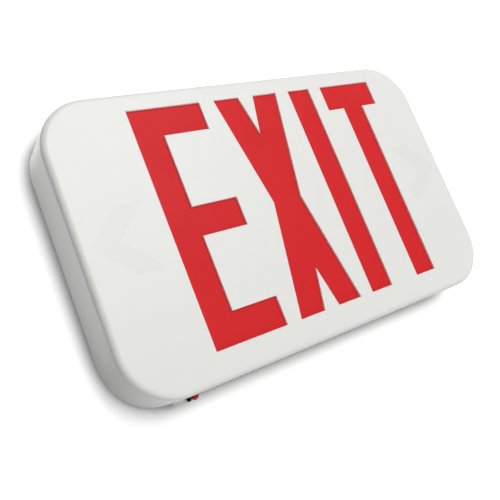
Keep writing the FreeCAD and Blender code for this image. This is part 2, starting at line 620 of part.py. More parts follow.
tray = new_body("light_tray")
tray_outline = sketch_on(tray, "XZ", "tray_outline", level=TRAY_BACK)
rounded(tray_outline, TRAY_HALF_WIDTH, TRAY_HALF_HEIGHT, TRAY_CORNER, up=TRAY_MIDDLE)
pad(tray, tray_outline, f"{TRAY_FRONT} - {TRAY_BACK}")
tray_inside = sketch_on(tray, "XZ", "tray_inside", level=TRAY_FLOOR)
rounded(tray_inside, f"{TRAY_HALF_WIDTH} - tray_wall", f"{TRAY_HALF_HEIGHT} - tray_wall",
        f"{TRAY_CORNER} - tray_wall", up=TRAY_MIDDLE)
cut(tray, tray_inside, along=True)

rails = sketch_on(tray, "YZ", "rails")
for wall, rise in ((TRAY_INNER_UP, "+"), (TRAY_INNER_LOW, "-")):
    inwards = "-" if rise == "+" else "+"
    for near in (f"{STRIP_BACK} - strip_fit - rail_thick", f"{STRIP_FRONT} + strip_fit"):
        low, high = f"{wall} {inwards} rail_tall", f"{wall} {rise} tray_wall / 2"
        rectangle(rails, f"-({near} + rail_thick)", low, f"-({near})", high)
pad(tray, rails, f"2 * ({STRIP_HALF} - rail_end_gap)", both=True)

tray_holes = sketch_on(tray, "XZ", "tray_holes", level=TRAY_BACK)
for across, up in TRAY_SCREWS:
    circle(tray_holes, SCREW_HOLE, across, up)
cut(tray, tray_holes, "tray_wall", along=True)

# Each strip's lead comes through a slot in the floor, and on below past the rail.
UPPER_LEAD = (f"({BOARD_LEFT} + upper_plug_in)",
              f"({TRAY_INNER_UP} - strip_thick - lead_rest - lead_thick / 2)")
LOWER_LEAD = (f"({BOARD_LEFT} + lower_plug_in)",
              f"({TRAY_INNER_LOW} + strip_thick + lead_rest + lead_thick / 2)")
lead_slots = sketch_on(tray, "XZ", "lead_slots", level=TRAY_BACK)
for across, up in (UPPER_LEAD, LOWER_LEAD):
    half_long, half_tall = "(lead_wide / 2 + lead_slot_clearance)", "(lead_thick / 2 + lead_slot_clearance)"
    rectangle(lead_slots, f"{across} - {half_long}", f"{up} - {half_tall}",
              f"{across} + {half_long}", f"{up} + {half_tall}")
cut(tray, lead_slots, f"{STRIP_BACK} - {TRAY_BACK}", along=True)


# ---- strips of lamps --------------------------------------------------------------------------------
# A narrow white board slid between the rails of each long wall, its lamps facing the middle of the tray.

strips = {}
for name, wall, inwards in (("upper", TRAY_INNER_UP, "-"), ("lower", TRAY_INNER_LOW, "+")):
    face = f"({wall} {inwards} strip_thick)"
    board = new_body(f"{name}_strip_board")
    strip_outline = sketch_on(board, "XY", f"{name}_strip_outline", level=wall)
    rectangle(strip_outline, f"-{STRIP_HALF}", f"-{STRIP_FRONT}", STRIP_HALF, f"-{STRIP_BACK}")
    pad(board, strip_outline, "strip_thick", reverse=inwards == "-")

    lamps = new_body(f"{name}_strip_lamps")
    lamp_outlines = sketch_on(lamps, "XY", f"{name}_lamp_outlines", level=face)
    first_lamp = f"(lamp_end_gap - {STRIP_HALF})"
    rectangle(lamp_outlines,
              f"{first_lamp} - lamp_length / 2", f"-({STRIP_BACK} + strip_width / 2 + lamp_width / 2)",
              f"{first_lamp} + lamp_length / 2", f"-({STRIP_BACK} + strip_width / 2 - lamp_width / 2)")
    lamp = pad(lamps, lamp_outlines, "lamp_tall", reverse=inwards == "-")
    row = lamps.newObject("PartDesign::LinearPattern", f"{name}_lamp_row")
    row.Originals = [lamp]
    row.Direction = (lamp_outlines, ["H_Axis"])
    bind(row, Length=f"2 * ({STRIP_HALF} - lamp_end_gap)", Occurrences="lamp_count")
    lamps.Tip = row
    doc.recompute()
    strips[name] = face


# ---- charger board ----------------------------------------------------------------------------------
# The supply and charger circuit on four short posts, two of them with screws.

charger = new_body("charger_board")
charger_outline = sketch_on(charger, "XZ", "charger_outline", level=BOARD_BACK)
rectangle(charger_outline, BOARD_LEFT, BOARD_LOW, BOARD_RIGHT, BOARD_HIGH)
for across, up in BOARD_SCREWS:
    circle(charger_outline, SCREW_HOLE, across, up)
pad(charger, charger_outline, "board_thick")


def on_board(spot_in, spot_over):
    """A spot given from the board's lower left corner, in the part's own frame."""
    return f"({BOARD_LEFT} + {spot_in})", f"({BOARD_LOW} + {spot_over})"


def brick(body, name, spot, length, width, tall, level=BOARD_FRONT):
    """A plain block on the board, with its middle over a spot."""
    across, up = spot
    base = sketch_on(body, "XZ", name, level=level)
    rectangle(base, f"{across} - {length} / 2", f"{up} - {width} / 2",
              f"{across} + {length} / 2", f"{up} + {width} / 2")
    return pad(body, base, tall)


# Transformer: a laminated core with two windows, and the coil round its middle leg.
core_x, core_z = on_board("core_in", "core_over")
core = new_body("transformer_core")
laminations = sketch_on(core, "XY", "laminations", level=core_z)
rectangle(laminations, f"{core_x} - core_width / 2", f"-({BOARD_FRONT} + core_tall)",
          f"{core_x} + core_width / 2", f"-{BOARD_FRONT}")
for side in ("-", "+"):
    near, far = f"{core_x} {side} core_leg / 2", f"{core_x} {side} (core_width / 2 - core_yoke)"
    rectangle(laminations, near, f"-({BOARD_FRONT} + core_tall - core_yoke)",
              far, f"-({BOARD_FRONT} + core_yoke)")
pad(core, laminations, "core_thick", both=True)
coil = new_body("transformer_coil")
winding = sketch_on(coil, "XZ", "winding", level=f"{BOARD_FRONT} + core_yoke + coil_fit")
for half_x, half_z in (("(core_width / 2 - core_yoke - coil_fit)", "coil_depth / 2"),
                       ("(core_leg / 2 + coil_fit)", "(core_thick / 2 + coil_fit)")):
    rectangle(winding, f"{core_x} - {half_x}", f"{core_z} - {half_z}",
              f"{core_x} + {half_x}", f"{core_z} + {half_z}")
pad(coil, winding, "core_tall - 2 * core_yoke - 2 * coil_fit")

film = new_body("film_capacitor")
brick(film, "film_block", on_board("film_in", "film_over"), "film_length", "film_width", "film_tall")
bridge = new_body("bridge_rectifier")
brick(bridge, "bridge_block", on_board("bridge_in", "bridge_over"),
      "bridge_length", "bridge_width", "bridge_tall")
fuse = new_body("line_fuse")
brick(fuse, "fuse_block", on_board("fuse_in", "fuse_over"), "fuse_length", "fuse_width", "fuse_tall")

regulator = new_body("power_regulator")
regulator_x, regulator_z = on_board("regulator_in", "regulator_over")
brick(regulator, "regulator_block", (regulator_x, regulator_z), "regulator_width", "regulator_length",
      "regulator_tall")
brick(regulator, "regulator_tab_plate", (regulator_x, f"({regulator_z} + regulator_length / 2)"),
      "regulator_width", "(2 * regulator_tab)", "tab_thick")

cans = new_body("electrolytic_capacitors")
can_x, can_z = on_board("can_in", "can_over")
can_base = sketch_on(cans, "XZ", "can_base", level=BOARD_FRONT)
circle(can_base, "can_size", can_x, can_z)
can = pad(cans, can_base, "can_tall")
can_row = cans.newObject("PartDesign::LinearPattern", "can_row")
can_row.Originals = [can]
can_row.Direction = (can_base, ["H_Axis"])
can_row.Occurrences = 2
bind(can_row, Length="can_pitch")
cans.Tip = can_row
doc.recompute()

# Supply terminal: three wire ports that face the wire entry, each with a lever on top.
terminal = new_body("supply_terminal")
terminal_x, terminal_z = on_board("terminal_in", "terminal_over")
brick(terminal, "terminal_block", (terminal_x, terminal_z),
      "terminal_deep", "terminal_width", "terminal_tall")
ports = sketch_on(terminal, "YZ", "ports", level=f"{terminal_x} + terminal_deep / 2")
levers = new_body("terminal_levers")
for step in ("- terminal_pitch", "", "+ terminal_pitch"):
    middle = f"({terminal_z} {step})"
    rectangle(ports, f"-({BOARD_FRONT} + port_up + port_width / 2)", f"{middle} - port_width / 2",
              f"-({BOARD_FRONT} + port_up - port_width / 2)", f"{middle} + port_width / 2")
    brick(levers, "lever", (terminal_x, middle), "lever_length", "lever_width", "lever_tall",
          level=f"{BOARD_FRONT} + terminal_tall")
cut(terminal, ports, "port_deep")

# Sockets on the board's edges, open away from the board, and the plugs pushed into them.
PLUG_IN = "(socket_deep - socket_wall - plug_fit)"
POLE_LEVEL = f"({BOARD_FRONT} + socket_tall / 2)"
BATTERY_PLUG_X = f"({BOARD_LEFT} + battery_plug_in)"
for name, middle, poles, edge, out in (
        ("battery", BATTERY_PLUG_X, "lead_poles", BOARD_HIGH, "+"),
        ("upper", UPPER_LEAD[0], "lead_poles", BOARD_HIGH, "+"),
        ("lower", LOWER_LEAD[0], "lead_poles", BOARD_LOW, "-"),
        ("test", TEST_MIDDLE, "test_poles", BOARD_LOW, "-")):
    half = f"(({poles} - 1) * pole_pitch / 2 + pole_margin)"
    up = out == "+"

    socket = new_body(f"{name}_socket")
    shell = sketch_on(socket, "XY", f"{name}_socket_shell", level=edge)
    rectangle(shell, f"{middle} - {half}", f"-({BOARD_FRONT} + socket_tall)",
              f"{middle} + {half}", f"-{BOARD_FRONT}")
    pad(socket, shell, "socket_deep", reverse=up)
    mouth = sketch_on(socket, "XY", f"{name}_socket_mouth", level=edge)
    rectangle(mouth, f"{middle} - {half} + socket_wall", f"-({BOARD_FRONT} + socket_tall - socket_wall)",
              f"{middle} + {half} - socket_wall", f"-({BOARD_FRONT} + socket_wall)")
    cut(socket, mouth, "socket_deep - socket_wall", along=not up)

    plug = new_body(f"{name}_plug")
    nose = sketch_on(plug, "XY", f"{name}_plug_nose", level=f"{edge} {'-' if up else '+'} {PLUG_IN}")
    inset = "(socket_wall + plug_fit)"
    rectangle(nose, f"{middle} - {half} + {inset}", f"-({BOARD_FRONT} + socket_tall - {inset})",
              f"{middle} + {half} - {inset}", f"-({BOARD_FRONT} + {inset})")
    pad(plug, nose, "plug_long", reverse=not up)


# ---- battery ----------------------------------------------------------------------------------------
# Three cells side by side in one shrink sleeve, between the cradle's corners and under its clips.

battery = new_body("battery_pack")
sleeve = sketch_on(battery, "XY", "sleeve", level="battery_up")
slot(sleeve, PACK_WIDTH, "cell_size", PACK_MIDDLE, "-(plate_thick + cell_size / 2)")
pad(battery, sleeve, "cell_length", both=True)


# ---- leads ------------------------------------------------------------------------------------------
# Flat leads, each swept along its route: straight runs joined by tangent arcs.

def route(sketch, corners):
    """Runs along the sketch's axes through a list of corners, with an arc in place of each turn."""
    spots = [FreeCAD.Vector(value(across), value(up), 0) for across, up in corners]
    bend = value("lead_bend")
    ways = [(after - before).normalize() for before, after in zip(spots, spots[1:])]
    runs = len(ways)
    starts = [spots[0]] + [spots[i] + ways[i] * bend for i in range(1, runs)]
    ends = [spots[i + 1] - ways[i] * bend for i in range(runs - 1)] + [spots[-1]]
    sketch.addGeometry([Part.LineSegment(start, end) for start, end in zip(starts, ends)], False)
    rules = [("Horizontal" if abs(way.x) > abs(way.y) else "Vertical", i) for i, way in enumerate(ways)]
    ties = []
    for i in range(runs - 1):
        centre = ends[i] + ways[i + 1] * bend
        left_turn = ways[i].cross(ways[i + 1]).z > 0
        first, last = (ends[i], starts[i + 1]) if left_turn else (starts[i + 1], ends[i])
        angles = [math.atan2(spot.y - centre.y, spot.x - centre.x) for spot in (first, last)]
        ring = Part.Circle(centre, FreeCAD.Vector(0, 0, 1), bend)
        turned = angles[0] + (angles[1] - angles[0]) % (2 * math.pi)
        arc = sketch.addGeometry(Part.ArcOfCircle(ring, angles[0], turned), False)
        rules.append(("Tangent", i, 2, arc, 1 if left_turn else 2))
        rules.append(("Tangent", i + 1, 1, arc, 2 if left_turn else 1))
        ties.append(("Radius", arc, "lead_bend"))
    for run, end, (along_x, along_y) in ((0, 1, corners[0]), (runs - 1, 2, corners[-1])):
        ties.append(("DistanceX", -1, 1, run, end, along_x))
        ties.append(("DistanceY", -1, 1, run, end, along_y))
    for i in range(1, runs - 1):
        lies_across = abs(ways[i].x) > abs(ways[i].y)
        kind, level = ("DistanceY", corners[i][1]) if lies_across else ("DistanceX", corners[i][0])
        ties.append((kind, -1, 1, i, 1, level))
    constrain(sketch, rules, ties)


def lead(name, plane, level, corners, start, half_x, half_y):
    """Sweep a flat section, square to the first run, along a route."""
    body = new_body(name)
    path = sketch_on(body, plane, f"{name}_route", level=level)
    route(path, corners)
    across, depth, height = start
    section = sketch_on(body, "XY", f"{name}_section", level=height)
    rectangle(section, f"{across} - {half_x}", f"-({depth}) - {half_y}",
              f"{across} + {half_x}", f"-({depth}) + {half_y}")
    doc.recompute()
    sweep = body.newObject("PartDesign::AdditivePipe", f"{name}_sweep")
    sweep.Profile = section
    sweep.Spine = (path, [f"Edge{n}" for n in range(1, len(path.Shape.Edges) + 1)])
    doc.recompute()
    expected = path.Shape.Length * value("lead_thick * lead_wide")
    print(f"{name}: bend radius {value('lead_bend')}, volume {body.Shape.Volume:.1f} of {expected:.1f}")


PLUG_OUT = "(plug_long - socket_deep + socket_wall + plug_fit)"
SOLDER_DEPTH = f"({STRIP_BACK} + lead_solder)"
for name, (across, far), edge, out in (("upper", UPPER_LEAD, BOARD_HIGH, "+"),
                                       ("lower", LOWER_LEAD, BOARD_LOW, "-")):
    plug_end = f"({edge} {out} {PLUG_OUT})"
    lead(f"{name}_strip_lead", "YZ", across,
         [(f"-{POLE_LEVEL}", plug_end), (f"-{POLE_LEVEL}", far), (f"-{SOLDER_DEPTH}", far)],
         (across, POLE_LEVEL, plug_end), "lead_wide / 2", "lead_thick / 2")

plug_end = f"({BOARD_HIGH} + {PLUG_OUT})"
lead("battery_lead", "XZ", POLE_LEVEL,
     [(BATTERY_PLUG_X, plug_end), (BATTERY_PLUG_X, f"{BOARD_HIGH} + battery_lead_over"),
      (PACK_MIDDLE, f"{BOARD_HIGH} + battery_lead_over"), (PACK_MIDDLE, "battery_up + cell_length / 2")],
     (BATTERY_PLUG_X, POLE_LEVEL, plug_end), "lead_thick / 2", "lead_wide / 2")

test_lead = new_body("test_lead")
ribbon = sketch_on(test_lead, "XY", "ribbon", level=f"{TEST_FLOOR} + board_thick")
half_ribbon = "((test_poles - 1) * pole_pitch / 2 + lead_thick / 2)"
rectangle(ribbon, f"{TEST_MIDDLE} - {half_ribbon}", f"-({POLE_LEVEL} + lead_thick / 2)",
          f"{TEST_MIDDLE} + {half_ribbon}", f"-({POLE_LEVEL} - lead_thick / 2)")
pad(test_lead, ribbon, f"{BOARD_LOW} - {PLUG_OUT} - {TEST_FLOOR} - board_thick")


# ---- test board, switch, button and pilot lamp ------------------------------------------------------
# A small board across the two bosses of the cover's lower wall. The button slides up into the switch
# beneath it, and the lamp's dome stands out of its own hole.

test_board = new_body("test_board")
test_outline = sketch_on(test_board, "XY", "test_outline", level=TEST_FLOOR)
rectangle(test_outline, f"{TEST_MIDDLE} - test_board_length / 2", "-test_board_front",
          f"{TEST_MIDDLE} + test_board_length / 2", "-test_board_back")
for across, depth in TEST_SCREWS:
    circle(test_outline, SCREW_HOLE, across, depth)
pad(test_board, test_outline, "board_thick")

SWITCH_LOW = f"({TEST_FLOOR} - switch_tall)"
switch = new_body("switch_body")
switch_outline = sketch_on(switch, "XY", "switch_outline", level=TEST_FLOOR)
rectangle(switch_outline, f"{BUTTON_X} - switch_width / 2", "-button_depth - switch_deep / 2",
          f"{BUTTON_X} + switch_width / 2", "-button_depth + switch_deep / 2")
pad(switch, switch_outline, "switch_tall", reverse=True)
bore = sketch_on(switch, "XY", "bore", level=SWITCH_LOW)
circle(bore, "stem_size + 2 * stem_fit", BUTTON_X, "-button_depth")
cut(switch, bore, "stem_in + button_travel + button_clearance", along=True)

button = new_body("test_button")
button_profile = sketch_on(button, "XZ", "button_profile", level="button_depth", across=BUTTON_X)
button_tip = f"(-{HALF_HEIGHT} - button_proud)"
cap_top = f"({SWITCH_LOW} - button_travel - button_clearance)"
outline(button_profile, [
    ("0", button_tip), ("button_size / 2 - button_chamfer", button_tip),
    ("button_size / 2", f"{button_tip} + button_chamfer"), ("button_size / 2", cap_top),
    ("stem_size / 2", cap_top), ("stem_size / 2", f"{SWITCH_LOW} + stem_in"),
    ("0", f"{SWITCH_LOW} + stem_in"),
])
spin(button, button_profile)

led = new_body("pilot_led")
led_profile = sketch_on(led, "XZ", "led_profile", level=LED_DEPTH, across=LED_X)
led_tip = f"(-{HALF_HEIGHT} - led_proud)"
led_top = f"({led_tip} + led_length)"
flange_low = f"({led_top} - led_flange_tall)"
dome_spring = value(f"{led_tip} + led_size / 2")
steps = [("0", led_top), ("led_flange / 2", led_top),
         ("led_flange / 2", flange_low), ("led_size / 2", flange_low)]
spots = [FreeCAD.Vector(value(across), value(up), 0) for across, up in steps]
spots += [FreeCAD.Vector(value("led_size / 2"), dome_spring, 0), FreeCAD.Vector(0, value(led_tip), 0)]
dome = Part.ArcOfCircle(
    Part.Circle(FreeCAD.Vector(0, dome_spring, 0), FreeCAD.Vector(0, 0, 1), value("led_size / 2")),
    1.5 * math.pi, 2 * math.pi)
led_profile.addGeometry([Part.LineSegment(spots[i], spots[i + 1]) for i in range(4)] + [dome]
                        + [Part.LineSegment(spots[5], spots[0])], False)
constrain(led_profile, [
    ("Coincident", 0, 2, 1, 1), ("Coincident", 1, 2, 2, 1), ("Coincident", 2, 2, 3, 1), ("Vertical", 3),
    ("Tangent", 3, 2, 4, 2), ("Coincident", 4, 1, 5, 1), ("Coincident", 5, 2, 0, 1), ("Vertical", 5),
], [(f"Distance{axis}", -1, 1, i, 1, spot) for i, step in enumerate(steps) for axis, spot in zip("XY", step)]
    + [("DistanceY", -1, 1, 4, 1, led_tip), ("DistanceX", -1, 1, 4, 3, "0")])
spin(led, led_profile)

legs = new_body("pilot_led_legs")
leg_sections = sketch_on(legs, "XY", "leg_sections", level=led_top)
for side in ("-", "+"):
    middle = f"({LED_X} {side} leg_pitch / 2)"
    rectangle(leg_sections, f"{middle} - leg_size / 2", f"-{LED_DEPTH} - leg_size / 2",
              f"{middle} + leg_size / 2", f"-{LED_DEPTH} + leg_size / 2")
pad(legs, leg_sections, f"{TEST_FLOOR} - {led_top}")


# ---- screws -----------------------------------------------------------------------------------------
# Self-tapping pan-head screws, all of one size.

def screws(name, plane, seats):
    """One turned screw at each seat. The head stands towards the seat's free side, given by its sign."""
    body = new_body(name)
    for number, (level, across, seat, head) in enumerate(seats):
        profile = sketch_on(body, plane, f"{name}_{number}", level=level, across=across)
        tip = "-" if head == "+" else "+"
        outline(profile, [
            ("0", f"{seat} {head} screw_head_tall"), ("screw_head / 2", f"{seat} {head} screw_head_tall"),
            ("screw_head / 2", seat), ("screw_shank / 2", seat),
            ("screw_shank / 2", f"{seat} {tip} screw_length"), ("0", f"{seat} {tip} screw_length"),
        ])
        spin(body, profile)


screws("tray_screws", "XY", [(up, across, f"-{TRAY_FLOOR}", "-") for across, up in TRAY_SCREWS])
screws("board_screws", "XY", [(up, across, f"-{BOARD_FRONT}", "-") for across, up in BOARD_SCREWS])
screws("test_board_screws", "XZ", [(f"-({depth})", across, f"({TEST_FLOOR} + board_thick)", "+")
                                   for across, depth in TEST_SCREWS])


# ---- check and write --------------------------------------------------------------------------------

doc.recompute()
for item in doc.Objects:
    if {"Invalid", "Error"} & set(item.State):
        raise RuntimeError(f"{item.Name} failed: {item.State}")
    if item.isDerivedFrom("Sketcher::SketchObject") and not item.FullyConstrained:
        raise RuntimeError(f"{item.Name} is not fully constrained")

os.makedirs("parts", exist_ok=True)
for body in [item for item in doc.Objects if item.isDerivedFrom("PartDesign::Body")]:
    if body.Shape.isNull() or not body.Shape.isValid() or not body.Shape.Solids:
        raise RuntimeError(f"{body.Label} has no sound solid")
    body.Shape.exportStep(f"parts/{body.Label}.step")
    print(f"{body.Label}: {len(body.Shape.Solids)} solid(s), {body.Shape.Volume:.1f} mm3")
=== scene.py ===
import json
import math

import bmesh
import bpy
from mathutils import Matrix, Vector

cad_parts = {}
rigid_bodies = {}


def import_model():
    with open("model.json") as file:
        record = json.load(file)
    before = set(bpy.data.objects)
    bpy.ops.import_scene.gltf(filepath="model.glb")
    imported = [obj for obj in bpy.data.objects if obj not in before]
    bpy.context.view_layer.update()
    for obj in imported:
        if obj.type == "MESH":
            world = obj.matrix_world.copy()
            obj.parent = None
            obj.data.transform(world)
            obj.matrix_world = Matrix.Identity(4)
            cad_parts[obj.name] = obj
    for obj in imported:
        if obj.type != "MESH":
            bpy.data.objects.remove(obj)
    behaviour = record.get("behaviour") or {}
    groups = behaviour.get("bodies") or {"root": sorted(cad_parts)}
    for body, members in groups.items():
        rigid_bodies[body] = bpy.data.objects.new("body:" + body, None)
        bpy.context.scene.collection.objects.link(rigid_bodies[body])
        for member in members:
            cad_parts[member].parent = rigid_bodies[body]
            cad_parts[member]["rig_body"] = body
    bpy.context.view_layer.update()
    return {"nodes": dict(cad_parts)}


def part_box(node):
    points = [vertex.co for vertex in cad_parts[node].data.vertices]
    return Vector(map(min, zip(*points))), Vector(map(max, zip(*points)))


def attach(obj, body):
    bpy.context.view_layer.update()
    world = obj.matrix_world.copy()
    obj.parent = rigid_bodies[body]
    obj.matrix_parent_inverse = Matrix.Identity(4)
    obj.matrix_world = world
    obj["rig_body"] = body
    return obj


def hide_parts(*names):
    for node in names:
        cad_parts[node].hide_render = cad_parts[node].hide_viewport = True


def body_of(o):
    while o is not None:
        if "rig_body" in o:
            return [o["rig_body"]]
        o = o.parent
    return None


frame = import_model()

# ---- The view ---------------------------------------------------------------------------------------
# The light hangs on a wall and is seen from close by, from its left and a little below its middle,
# with the camera rolled so that the legend climbs to the right.

CAMERA_SPOT = (-0.256064, -0.351938, -0.080651)
CAMERA_RIGHT = (0.805783, -0.465009, -0.366717)
CAMERA_UP = (0.232985, -0.320382, 0.918190)
CAMERA_BACK = (-0.544456, -0.825301, -0.149819)

camera = bpy.data.objects.new("Camera", bpy.data.cameras.new("Camera"))
camera.data.sensor_width = 36
camera.data.lens = 45.187
camera.data.clip_start = 0.01
turn = Matrix((CAMERA_RIGHT, CAMERA_UP, CAMERA_BACK)).transposed().to_4x4()
camera.matrix_world = Matrix.Translation(CAMERA_SPOT) @ turn
bpy.context.scene.collection.objects.link(camera)
bpy.context.scene.camera = camera
bpy.context.scene.view_settings.view_transform = "Standard"


# ---- The wall and the studio light ------------------------------------------------------------------
# A plain white wall with a coved foot that runs out into a pale floor. It takes the light's shadow and
# is open from behind, so that the back can be seen. Close round the housing a painted shade darkens it.
# Broad soft lights stand in front, low down in front and behind.

class Wire:
    """A value that varies over a surface. Sums and products of it add their own Math nodes."""

    def __init__(self, tree, socket):
        self.tree = tree
        self.socket = socket

    def worked(self, operation, *items):
        node = self.tree.nodes.new("ShaderNodeMath")
        node.operation = operation
        for entry, item in zip(node.inputs, items):
            if isinstance(item, Wire):
                self.tree.links.new(item.socket, entry)
            else:
                entry.default_value = item
        return Wire(self.tree, node.outputs[0])

    def __add__(self, other):
        return self.worked("ADD", self, other)

    def __sub__(self, other):
        return self.worked("SUBTRACT", self, other)

    def __rsub__(self, other):
        return self.worked("SUBTRACT", other, self)

    def __mul__(self, other):
        return self.worked("MULTIPLY", self, other)

    def __truediv__(self, other):
        return self.worked("DIVIDE", self, other)

    def __mod__(self, other):
        return self.worked("FLOORED_MODULO", self, other)

    def __pow__(self, other):
        return self.worked("POWER", self, other)

    def __abs__(self):
        return self.worked("ABSOLUTE", self)

    def __gt__(self, other):
        return self.worked("GREATER_THAN", self, other)

    def __lt__(self, other):
        return self.worked("LESS_THAN", self, other)

    __radd__ = __add__
    __rmul__ = __mul__


class Nodes:
    """A shader tree. Every node in it comes from add()."""

    def __init__(self, tree):
        self.tree = tree
        self.tree.nodes.clear()

    def feed(self, entry, item):
        if isinstance(item, Wire):
            self.tree.links.new(item.socket, entry)
        elif isinstance(item, tuple) and len(item) == 3 and entry.type == "RGBA":
            entry.default_value = (*item, 1)
        else:
            entry.default_value = item

    def add(self, kind, settings=None, sockets=None, output=0):
        """A node's output: its settings are set first, then its sockets are set or linked."""
        node = self.tree.nodes.new("ShaderNode" + kind)
        for name, setting in (settings or {}).items():
            setattr(node, name, setting)
        for name, item in (sockets or {}).items():
            self.feed(node.inputs[name], item)
        return Wire(self.tree, node.outputs[output]) if node.outputs else node

    def seen(self):
        """1 where the camera, a reflection or glass looks at the surface, and 0 where light bounces."""
        looks = [self.add("LightPath", output=f"Is {kind} Ray")
                 for kind in ("Camera", "Glossy", "Transmission")]
        return looks[0] + looks[1] + looks[2] > 0.5


class Finish(Nodes):
    """A material under one Principled shader."""

    # the Mix node's own numbers for its colour sockets
    MASK, COLOUR_A, COLOUR_B, COLOUR_OUT = 0, 6, 7, 2

    def __init__(self, name, **surface):
        self.material = bpy.data.materials.new(name)
        self.material.use_nodes = True
        super().__init__(self.material.node_tree)
        self.shader = self.add("BsdfPrincipled")
        self.surface = self.shader.socket.node
        self.end = self.add("OutputMaterial", None, {"Surface": self.shader})
        self.place = self.add("TexCoord", output="Object")
        self.paint(**surface)

    def paint(self, **surface):
        """Set or link the shader's own sockets, with _ for a space in a socket's name."""
        for socket, item in surface.items():
            self.feed(self.surface.inputs[socket.replace("_", " ")], item)

    def noise(self, scale, detail=2.0, roughness=0.5):
        """Soft blotches, so many to the metre, from 0 to 1."""
        return self.add("TexNoise", None, {
            "Vector": self.place, "Scale": scale, "Detail": detail, "Roughness": roughness})

    def blend(self, mask, first, second):
        """The first colour where the mask is 0 and the second where it is 1."""
        return self.add("Mix", {"data_type": "RGBA"}, {
            self.MASK: mask, self.COLOUR_A: first, self.COLOUR_B: second}, output=self.COLOUR_OUT)

    def relief(self, height, depth, strength=1.0):
        """Raise the surface by a height from 0 to 1, depth metres deep."""
        self.paint(Normal=self.add("Bump", None, {
            "Height": height, "Distance": depth, "Strength": strength}))


def make(name, mesh):
    """An object of the mesh, in the scene."""
    data = bpy.data.meshes.new(name)
    mesh.to_mesh(data)
    mesh.free()
    piece = bpy.data.objects.new(name, data)
    bpy.context.scene.collection.objects.link(piece)
    return piece


def sweep_wall(across, high, low, out, cove, steps=12):
    """A wall's section from its top down, round the cove and out over the floor, drawn out sideways."""
    mesh = bmesh.new()
    turns = [math.pi / 2 * step / steps for step in range(steps + 1)]
    section = [(0.0, high)]
    section += [(cove * (math.cos(turn) - 1), low + cove * (1 - math.sin(turn))) for turn in turns]
    section.append((-out, low))
    verts = [mesh.verts.new((-across / 2, y, z)) for y, z in section]
    run = [mesh.edges.new(pair) for pair in zip(verts, verts[1:])]
    swept = bmesh.ops.extrude_edge_only(mesh, edges=run)
    moved = [item for item in swept["geom"] if isinstance(item, bmesh.types.BMVert)]
    bmesh.ops.translate(mesh, verts=moved, vec=(across, 0, 0))
    bmesh.ops.reverse_faces(mesh, faces=mesh.faces)
    for face in mesh.faces:
        face.smooth = True
    return mesh


BEHIND = 0.0005                      # gap between the back plate and the wall
PAPER = (0.80, 0.80, 0.80)           # the wall's colour, and how much it glows to stay white
PAPER_SEEN = (0.62, 0.62, 0.62)
PAINTED_SHADE = (0.20, 0.20, 0.20)          # painted shade: the wall's colour and glow where the housing closes it in
PAINTED_SHADE_SEEN = (0.10, 0.10, 0.10)
PAINTED_SHADE_REACH = 0.015                  # reach of that painted shade
PAINTED_SHADE_STEEP = 2                     # how soon the painted shade is full
FILL = 0.26                          # light from all round
WHITE = (1, 1, 1)

backdrop = make("backdrop", sweep_wall(across=6, high=2.5, low=-1.2, out=3, cove=0.3))
backdrop.location.y = BEHIND
backdrop.visible_diffuse = False
backdrop.visible_shadow = False
paper = Finish("matt_white_wall", Roughness=0.9, Specular_IOR_Level=0, Emission_Strength=1)
# painted shade: an occlusion test darkens the wall's colour and glow where the housing closes it in
open_share = paper.add("AmbientOcclusion", {"samples": 8}, {"Distance": PAINTED_SHADE_REACH}, "AO")
painted_shade_mask = (1 - open_share) * PAINTED_SHADE_STEEP
painted_shade_mask = paper.add("Clamp", None, {"Value": painted_shade_mask * painted_shade_mask})
paper.paint(Base_Color=paper.blend(painted_shade_mask, PAPER, PAINTED_SHADE),
            Emission_Color=paper.blend(painted_shade_mask, PAPER_SEEN, PAINTED_SHADE_SEEN))
behind = paper.add("NewGeometry", output="Backfacing")
sheet = paper.add("MixShader", None, {0: behind, 1: paper.shader, 2: paper.add("BsdfTransparent")})
paper.feed(paper.end.inputs["Surface"], sheet)
backdrop.data.materials.append(paper.material)

world = bpy.data.worlds.new("studio")
bpy.context.scene.world = world
world.use_nodes = True
air = Nodes(world.node_tree)
fill = air.add("Background", None, {"Color": WHITE, "Strength": FILL})
plain = air.add("Background", None, {"Color": WHITE, "Strength": 1})
air.add("OutputWorld", None, {"Surface": air.add("MixShader", None, {0: air.seen(), 1: fill, 2: plain})})


def soft_light(name, spot, size, power):
    """A square lamp that faces the housing."""
    lamp = bpy.data.objects.new(name, bpy.data.lights.new(name, "AREA"))
    lamp.data.shape = "SQUARE"
    lamp.data.size = size
    lamp.data.energy = power
    lamp.location = spot
    lamp.rotation_euler = Vector(spot).to_track_quat("Z", "Y").to_euler()
    bpy.context.scene.collection.objects.link(lamp)


soft_light("key", (0.35, -1.55, 0.72), 1.1, 19.3)
soft_light("low", (0.15, -0.7, -1.3), 1.0, 6)
soft_light("back", (0, 1.6, 0.6), 1.1, 16)


# ---- Front cover ------------------------------------------------------------------------------------
# The white cover with the stencil legend is one moulding in warm white ABS. Its outer edges are a
# little rounded where the mould halves meet, and the thin chevron webs get a darker copy of the white, a
# painted shade.

EASE = 0.00025           # rounding of the mouldings' outer edges
WEB_SUNK = 0.0003        # a floor less than this below the face is a chevron's
WEB_DRAFT = 0.0007       # run of a chevron's sloping sides
LEVEL = 0.00001          # two heights closer than this are the same
MERGE = 0.000001         # two corners closer than this are one
FLAT = 0.3               # facets that turn less than this, in degrees, are one face


